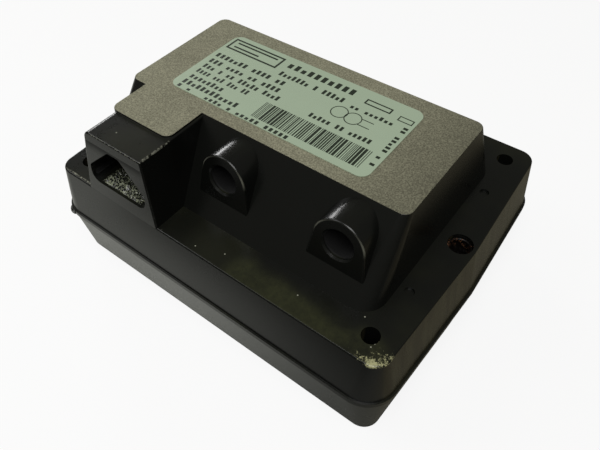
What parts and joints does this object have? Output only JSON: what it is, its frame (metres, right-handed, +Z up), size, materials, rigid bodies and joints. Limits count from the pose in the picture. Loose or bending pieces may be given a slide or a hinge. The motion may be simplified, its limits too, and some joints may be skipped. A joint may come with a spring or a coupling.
{
  "type": "ignition transformer",
  "caption": "Potted burner ignition transformer: drafted black base with fixing holes, raised block with a bare label, mains socket tower and two high-voltage outlets.",
  "frame": {"origin": "middle of the base on the mounting face", "axes": "+X along the long side towards the end with the earth bush, +Y away from the outlets, +Z up"},
  "size_m": [0.1282, 0.1002, 0.0594],
  "materials": {
    "black_moulding": "satin black moulding, grained on the block's top",
    "label_film": "pale grey-green film",
    "resin_lumps": "glossy lumps",
    "bush_steel": "tarnished brown",
    "tinned_copper": "tinned",
    "core_steel": "varnished sheet",
    "band_steel": "plain",
    "bobbin_nylon": "natural nylon",
    "copper_winding": "enamelled copper",
    "wrap_tape": "yellow tape",
    "contact_brass": "bright",
    "insert_plastic": "black",
    "red_insulation": "silicone",
    "brown_insulation": "PVC",
    "blue_insulation": "PVC",
    "green_insulation": "PVC",
    "white_insulation": "silicone",
    "potting_resin": "dark cast resin"
  },
  "bodies": {
    "root": {"housing_shell": "black_moulding", "base_tray": "black_moulding", "rating_label": "label_film", "spilled_resin": "resin_lumps", "earth_bush": "bush_steel", "earth_strap": "tinned_copper", "core_e_stack": "core_steel", "core_i_stack": "core_steel", "magnetic_shunts": "core_steel", "core_band": "band_steel", "primary_bobbin": "bobbin_nylon", "secondary_bobbin_left": "bobbin_nylon", "secondary_bobbin_right": "bobbin_nylon", "primary_winding": "copper_winding", "secondary_winding_left": "copper_winding", "secondary_winding_right": "copper_winding", "primary_wrap": "wrap_tape", "secondary_wrap_left": "wrap_tape", "secondary_wrap_right": "wrap_tape", "outlet_pin_left": "contact_brass", "outlet_pin_right": "contact_brass", "line_blade": "contact_brass", "neutral_blade": "contact_brass", "earth_blade": "contact_brass", "socket_insert": "insert_plastic", "outlet_lead_left": "red_insulation", "outlet_lead_right": "red_insulation", "line_lead": "brown_insulation", "neutral_lead": "blue_insulation", "earth_lead": "green_insulation", "centre_tap_leads": "white_insulation", "potting_compound": "potting_resin"}
  },
  "joints": []
}
